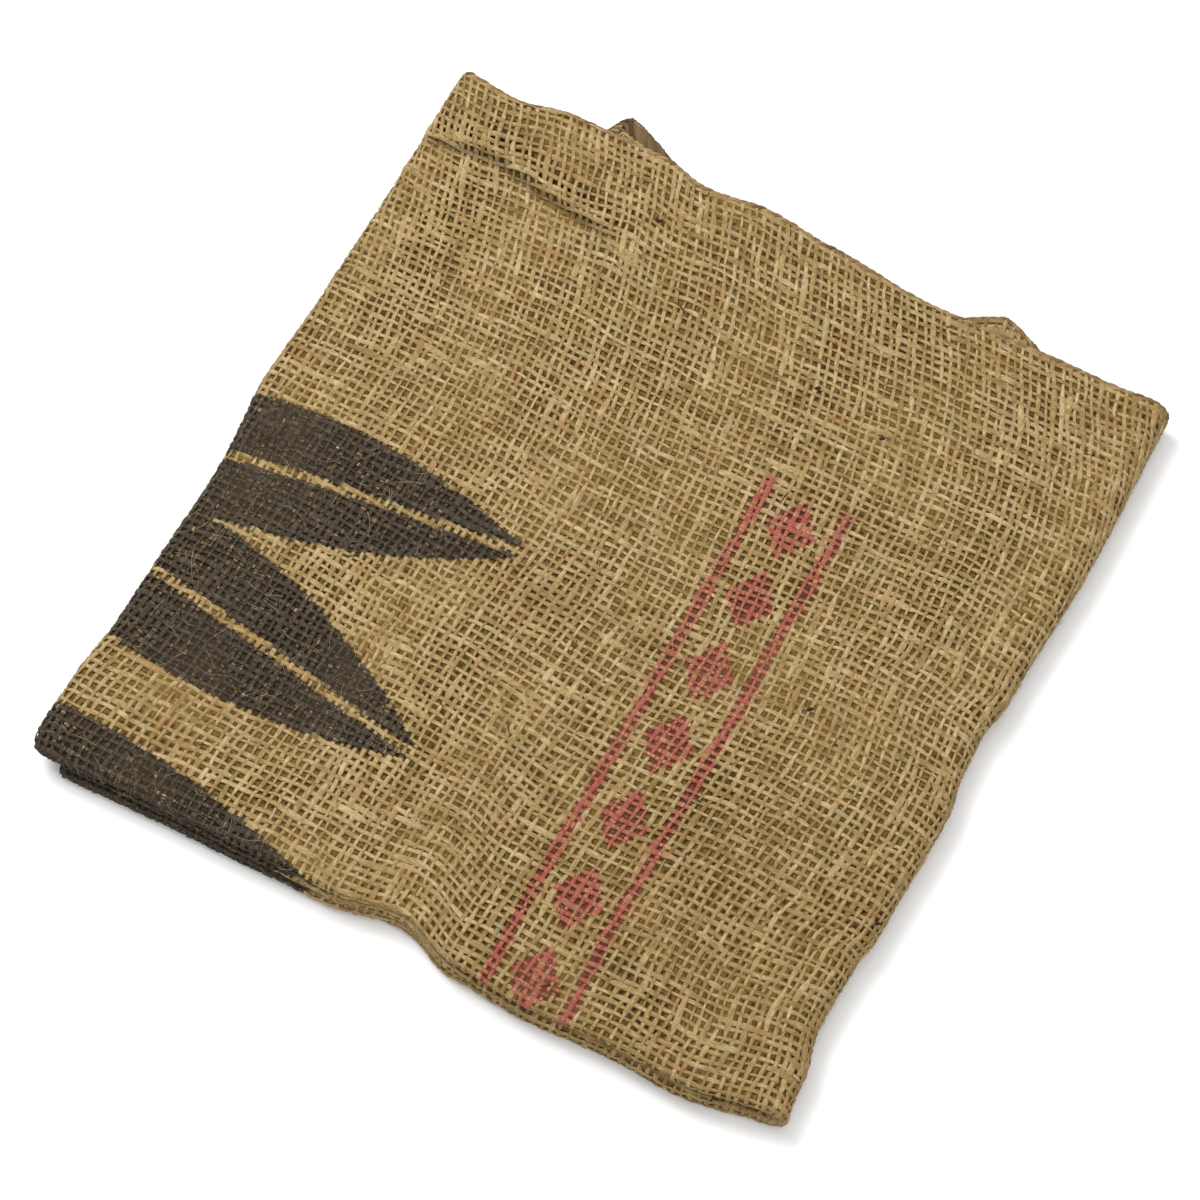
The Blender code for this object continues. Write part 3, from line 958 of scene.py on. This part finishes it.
def ground_material():
    """Painted dark under the swept yarns, as shade down in the weave's holes, and woven by shading
    alone on the panels that have none.
    """
    material, paint, surface = jute_shader("jute_ground")
    place = paint.node("ShaderNodeUVMap", uv_map="cloth").outputs["UV"]
    parts = paint.node("ShaderNodeSeparateXYZ")
    paint.put(parts.inputs[0], place)
    weave = []
    for axis in ("X", "Y"):
        turn = paint.math("MULTIPLY", parts.outputs[axis], math.pi / SPACING)
        weave.append(paint.math("ABSOLUTE", paint.math("SINE", turn)))
    height = paint.math("MAXIMUM", *weave)
    mottle = paint.noise(place, 260.0, 3.0, 0.6)
    value = paint.math("MULTIPLY_ADD", height, 0.55, paint.math("MULTIPLY", mottle, 0.45))
    holes = paint.ramp(value, *zip(GROUND_STOPS, SHADED_HOLE_COLOURS))
    plain = paint.ramp(value, *zip(GROUND_STOPS, CLOTH_COLOURS))
    past_front = paint.step(parts.outputs["X"], ROUND, ROUND + SPACING)
    before_top = paint.step(parts.outputs["Y"], U_RIGHT + SPACING, U_RIGHT)
    bare = paint.math("MAXIMUM", past_front, before_top)
    flat = paint.node("ShaderNodeCombineXYZ")
    paint.put(flat.inputs["X"], paint.math("SUBTRACT", PRINT_X, parts.outputs["Y"]))
    paint.put(flat.inputs["Y"], paint.math("SUBTRACT", SIDE_Y, parts.outputs["X"]))
    colour = paint.mix(bare, holes, plain)
    # painted shade: the ink on the sheet is darkened, as it lies down in the holes
    colour = printed(paint, colour, flat.outputs[0], strength=0.85, depth=0.35)
    paint.put(surface.inputs["Base Color"], colour)
    bumped(paint, surface, height, strength=0.9, distance=0.0006)
    return material


bag_cloth.data.materials.append(ground_material())
bag_cloth.data.shade_smooth()

# %% [markdown]
# ## Weaving the sack's outside
# The yarns of the whole top are swept, with both rolled folds and the lengthwise fold. The lower
# thirds show only their folds and their sides, so those get narrow strips of weave.

# %% Yarn pieces
YARN_WIDTH = {LONG: 0.00182, CROSS: 0.00175}
YARN_THICKNESS = {LONG: 0.00076, CROSS: 0.00078}
SIDES = 5
OVER_THE_SIDE = 0.0075
UNDER_THE_FOLD = 0.0100
INTO_THE_ROLL = 0.0150
SKEW_FAR = float(skew(0.0))
SKEW_NEAR = float(skew(FLAT))


def span(start, end):
    """Numbers of the yarns between two places on the cloth."""
    return np.arange(int(math.floor(start / SPACING)), int(math.ceil(end / SPACING)))


whole_width = span(-OVER_THE_SIDE, FLAT + HALF_ARC + UNDER_THE_FOLD)
whole_length = span(U_RIGHT - INTO_THE_ROLL - SKEW_FAR, U_MIDDLE + INTO_THE_ROLL)
half = len(whole_width) // 2
middle = len(whole_length) // 2

woven = []
for name, ks in (("long_yarns_far", whole_width[:half]), ("long_yarns_near", whole_width[half:])):
    lines = yarn_lines(LONG, ks, whole_length)
    woven.append(sweep(name, [lines], YARN_WIDTH[LONG], YARN_THICKNESS[LONG], SIDES, long_finish))
right_half, left_half = whole_length[:middle], whole_length[middle:]
for name, js in (("cross_yarns_right", right_half), ("cross_yarns_left", left_half)):
    lines = yarn_lines(CROSS, whole_width, js)
    woven.append(sweep(name, [lines], YARN_WIDTH[CROSS], YARN_THICKNESS[CROSS], SIDES, cross_finish))

# %% Strips on the lower thirds
#    The far strip of the bottom third starts a little inside the mouth.
FOLD_STRIP = span(FLAT - 0.010, FLAT + HALF_ARC + 0.008)
UPPER_SIDE = span(-0.024, 0.007)
LOWER_SIDE = span(ROUND - 0.008, ROUND + 0.009)
MOUTH_CLEARANCE = 0.0025
BOTTOM_END = U_RIGHT - INTO_THE_ROLL - SKEW_FAR
BOTTOM_NEAR = span(-SKEW_NEAR, BOTTOM_END)
BOTTOM_FAR = span(MOUTH_CLEARANCE - SKEW_FAR, BOTTOM_END)
MIDDLE_START = U_MIDDLE + INTO_THE_ROLL
MIDDLE_NEAR = span(MIDDLE_START, U_END - SKEW_NEAR)
MIDDLE_FAR = span(MIDDLE_START, U_END - SKEW_FAR)
STRIPS = (
    (FOLD_STRIP, BOTTOM_NEAR),
    (FOLD_STRIP, MIDDLE_NEAR),
    (UPPER_SIDE, BOTTOM_FAR),
    (UPPER_SIDE, MIDDLE_FAR),
    (LOWER_SIDE, BOTTOM_NEAR),
    (LOWER_SIDE, whole_length),
    (LOWER_SIDE, MIDDLE_NEAR),
)
EDGE_PIECES = ((LONG, "edge_long_yarns", long_finish), (CROSS, "edge_cross_yarns", cross_finish))
for direction, name, finish in EDGE_PIECES:
    patches = [yarn_lines(direction, ks, js) for ks, js in STRIPS]
    size = (YARN_WIDTH[direction], YARN_THICKNESS[direction])
    woven.append(sweep(name, patches, *size, SIDES, finish))

# %% [markdown]
# ## Loose fibres and bark flecks
# Jute sheds fine hairs, which lie across the weave and stand out at the edges, and holds slivers
# of dark bark. Both are short bent lines laid on the folded cloth, so the yarn tree sweeps them
# too. Their places are drawn at random with a fixed seed.

# %% Short lines on the cloth
FIBRE_LEVEL = 0.00045
KNOT_LEVEL = 0.00055


def short_lines(count, points, seed, length, height, bend):
    """Random bent lines of `length` = (least, most) that stand up to `height` over the cloth."""
    draw = np.random.default_rng(seed)
    s0 = draw.uniform(-0.002, FLAT + HALF_ARC + 0.001, (count, 1))
    u0 = draw.uniform(U_TOP - 0.6 * RIGHT_ARC, U_MIDDLE, (count, 1))
    angle = draw.uniform(0.0, 2.0 * math.pi, (count, 1))
    turn = draw.uniform(-bend, bend, (count, 1))
    reach = draw.uniform(length[0], length[1], (count, 1)) * draw.uniform(0.4, 1.0, (count, 1))
    step = np.linspace(0.0, 1.0, points)[None]
    heading = angle + turn * step
    stride = reach / (points - 1)
    s = s0 + np.cumsum(stride * np.cos(heading), axis=1)
    u = u0 + np.cumsum(stride * np.sin(heading), axis=1)
    rise = draw.uniform(0.2, 1.0, (count, 1)) * height
    lean = draw.uniform(0.0, math.pi, (count, 1))
    out = FIBRE_LEVEL + rise * np.abs(np.sin(lean + 2.2 * step))
    return {
        "place": on_cloth(s, u, out),
        "up": cloth_normal(s, u),
        "girth": np.broadcast_to(1.15 - 0.55 * step, s.shape) * draw.uniform(0.7, 1.3, (count, 1)),
        "tone": np.broadcast_to(draw.normal(0.0, 1.0, (count, 1)), s.shape),
    }


#    x,      y of the dark knots
KNOTS = ((-0.048, 0.130), (0.060, 0.094), (0.032, 0.100), (0.085, -0.010), (0.140, -0.066))


def knot_lines(length):
    """Short thick slivers that lie flat at the knots' places."""
    x, y = np.array(KNOTS).T[:, :, None]
    step = np.linspace(-0.5, 0.5, 4)[None]
    s = SIDE_Y - y + 0.6 * length * step
    u = PRINT_X - x + 0.8 * length * step
    return {
        "place": on_cloth(s, u, KNOT_LEVEL),
        "up": cloth_normal(s, u),
        "girth": 2.6 - 8.0 * step**2 + 0.0 * s,
        "tone": -2.0 + 0.0 * s,
    }


# %% Fibres and flecks
def plain_fibre(name, dark, pale):
    material, paint, surface = jute_shader(name)
    share = paint.math("MULTIPLY_ADD", paint.attribute("tone"), 0.25, 0.5, clamp=True)
    paint.put(surface.inputs["Base Color"], paint.mix(share, dark, pale))
    return material


fibre_finish = plain_fibre("jute_fibre", (0.200, 0.132, 0.054), (0.470, 0.370, 0.200))
bark_finish = plain_fibre("jute_bark", (0.035, 0.016, 0.008), (0.130, 0.060, 0.026))
hairs = short_lines(2200, points=5, seed=31, length=(0.003, 0.014), height=0.0014, bend=1.6)
slivers = short_lines(46, points=4, seed=47, length=(0.002, 0.0075), height=0.0003, bend=0.8)
dark_bits = [slivers, knot_lines(length=0.0026)]
woven += [
    sweep("loose_fibres", [hairs], 0.00011, 0.00009, sides=3, material=fibre_finish),
    sweep("bark_flecks", dark_bits, 0.00060, 0.00040, SIDES, bark_finish),
]

# %% [markdown]
# ## Selvedge and corded side seam
# The top's far side ends in a bumpy selvedge of two twisted strands. The middle third's side is
# finished with a thicker dark cord, which shows where that side peeks out. In both, each strand
# is a helix round the side's edge, from one formula.

# %% Cord strands
def cord(start, end, strands, turn_length, points, shift, out, up):
    """Strands wound round the side's edge: `shift` past it, `out` sideways and `up` in height."""
    turns = (end - start) / turn_length
    share = np.linspace(0.0, 1.0, int(turns * points))[None]
    u = np.repeat(start + (end - start) * share, strands, axis=0)
    edge = np.full(u.shape, -0.5 * SIDE_ARC)
    outwards = cloth_normal(edge, u)
    strand = np.arange(strands)[:, None]
    angle = (2.0 * math.pi * (strand / strands + turns * share))[..., None]
    upwards = np.array([0.0, 0.0, 1.0])
    around = (shift + out * np.cos(angle)) * outwards + up * np.sin(angle) * upwards
    return {
        "place": on_cloth(edge, u, 0.0) + around,
        "up": np.cos(angle) * outwards + np.sin(angle) * upwards,
        "girth": 1.0 + 0.14 * own_wave(LONG, 1, strand, u),
        "tone": own_wave(LONG, 4, strand, u),
    }


seam_finish = plain_fibre("seam_thread", (0.070, 0.042, 0.020), (0.185, 0.120, 0.058))
selvedge_finish = plain_fibre("selvedge_strand", (0.115, 0.070, 0.030), (0.330, 0.225, 0.105))
SEAM_TURN = 0.0130
SEAM_SPAN = (U_MIDDLE + 0.004, U_END - 0.004)
SELVEDGE_TURN = 0.0066
SELVEDGE_SPANS = ((U_TOP - 0.5 * RIGHT_ARC, U_LEFT + 0.3 * LEFT_ARC), (0.020, U_RIGHT - 0.020))
seam_lines = cord(*SEAM_SPAN, 7, SEAM_TURN, points=10, shift=-0.0024, out=0.0032, up=0.0010)
seam = sweep("side_cord", [seam_lines], 0.0022, 0.0014, SIDES, seam_finish)
selvedge_lines = [
    cord(*ends, 2, SELVEDGE_TURN, points=6, shift=0.0, out=0.0005, up=0.0004)
    for ends in SELVEDGE_SPANS
]
selvedge = sweep("selvedge", selvedge_lines, 0.0017, 0.0013, SIDES, selvedge_finish)
woven += [selvedge, seam]
print("all pieces:", sum(triangles(piece) for piece in (bag_cloth, *woven)), "triangles")

# %% [markdown]
# ## Fitting the looks to the frame
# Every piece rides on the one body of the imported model. The sheet stands for the solid, and the
# yarns go with it.

# %% Frame calls
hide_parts("bag")
for piece in (bag_cloth, *woven):
    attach(piece, "root")

# %% [markdown]
# ## Floor, light and camera
# A plain pale floor and three large soft lamps. The camera looks down steeply from the side of
# the lengthwise fold.

# %% Floor
FLOOR_HALF = 2.5
FLOOR_LEVEL = -0.0006
FLOOR_COLOUR = (0.86, 0.86, 0.86, 1.0)
floor_mesh = bpy.data.meshes.new("floor")
corners = [(-1, -1), (1, -1), (1, 1), (-1, 1)]
floor_points = [(FLOOR_HALF * x, FLOOR_HALF * y, FLOOR_LEVEL) for x, y in corners]
floor_mesh.from_pydata(floor_points, [], [(0, 1, 2, 3)])
floor = bpy.data.objects.new("floor", floor_mesh)
bpy.context.scene.collection.objects.link(floor)
floor_finish = bpy.data.materials.new("pale_floor")
floor_finish.use_nodes = True
floor_surface = floor_finish.node_tree.nodes["Principled BSDF"]
floor_surface.inputs["Base Color"].default_value = FLOOR_COLOUR
floor_surface.inputs["Roughness"].default_value = 0.9
floor.data.materials.append(floor_finish)


# %% Light
def aim(piece, target):
    direction = np.array(target) - np.array(piece.location)
    piece.rotation_euler = mathutils.Vector(direction).to_track_quat("-Z", "Y").to_euler()


#    name,   place,               size, power
LAMPS = (
    ("key", (-0.90, 0.35, 1.45), 0.8, 23.4),
    ("fill", (1.20, -1.00, 1.40), 1.6, 10.8),
    ("top", (0.10, 0.10, 2.10), 1.8, 15.7),
)
WORLD_STRENGTH = 0.54
for name, place, size, power in LAMPS:
    lamp = bpy.data.lights.new(name, "AREA")
    lamp.size = size
    lamp.energy = power
    holder = bpy.data.objects.new(name, lamp)
    holder.location = place
    aim(holder, (0.0, 0.0, 0.0))
    bpy.context.scene.collection.objects.link(holder)
world = bpy.data.worlds.new("studio")
world.use_nodes = True
world.node_tree.nodes["Background"].inputs["Color"].default_value = (1.0, 1.0, 1.0, 1.0)
world.node_tree.nodes["Background"].inputs["Strength"].default_value = WORLD_STRENGTH
bpy.context.scene.world = world
bpy.context.scene.view_settings.view_transform = "Standard"

# %% Camera
AZIMUTH = math.radians(28.56)
ELEVATION = math.radians(68.2)
DISTANCE = 1.500
TARGET = (0.00016, -0.01383, 0.008)
LENS = 129.15
SENSOR_WIDTH = 36.0
back = (
    math.sin(AZIMUTH) * math.cos(ELEVATION),
    -math.cos(AZIMUTH) * math.cos(ELEVATION),
    math.sin(ELEVATION),
)
camera_data = bpy.data.cameras.new("camera")
camera_data.lens = LENS
camera_data.sensor_width = SENSOR_WIDTH
camera = bpy.data.objects.new("camera", camera_data)
camera.location = [t + DISTANCE * b for t, b in zip(TARGET, back)]
aim(camera, TARGET)
bpy.context.scene.collection.objects.link(camera)
bpy.context.scene.camera = camera
